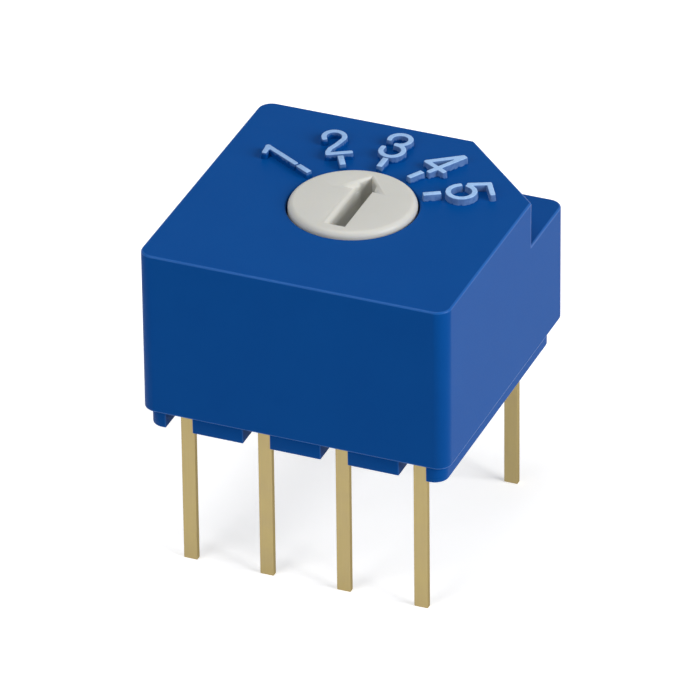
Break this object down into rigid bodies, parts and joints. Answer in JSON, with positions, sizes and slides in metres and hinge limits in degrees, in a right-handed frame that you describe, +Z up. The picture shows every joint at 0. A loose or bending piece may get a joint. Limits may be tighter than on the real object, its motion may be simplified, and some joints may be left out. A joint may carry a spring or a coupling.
{
  "type": "rotary switch",
  "caption": "Small sealed board-mounted rotary switch: square blue case with a cut corner, ivory slotted rotor with an arrow, raised dial marks and straight gold terminals.",
  "frame": {"origin": "middle of the cover in plan, on the plane where the feet meet the board", "axes": "+Z up from the board along the rotor's axis, +Y towards the arrow at position 3, +X towards position 5"},
  "size_m": [0.01, 0.01, 0.0113],
  "materials": {
    "blue_housing": "fine moulded satin",
    "sealing_resin": "self-levelled resin",
    "ivory_rotor": "moulded satin",
    "seal_rubber": "greased black",
    "contact_metal": "gold-plated strip",
    "spring_steel": "rolled strip",
    "terminal_metal": "dull gold-plated strip"
  },
  "bodies": {
    "case": {"cover": "blue_housing", "base": "blue_housing", "sealing_resin": "sealing_resin", "click_spring": "spring_steel", "terminal_1": "terminal_metal", "terminal_2": "terminal_metal", "terminal_3": "terminal_metal", "terminal_4": "terminal_metal", "terminal_5": "terminal_metal", "terminal_common": "terminal_metal"},
    "rotor": {"rotor": "ivory_rotor", "o_ring": "seal_rubber", "wiper": "contact_metal"}
  },
  "joints": [
    {"name": "rotor_turn", "type": "hinge", "parent": "case", "child": "rotor", "pos_m": [0, 0, 0.0061], "axis": [0, 0, 1], "range_deg": [-60, 60], "deforming": ["click_spring"]}
  ]
}
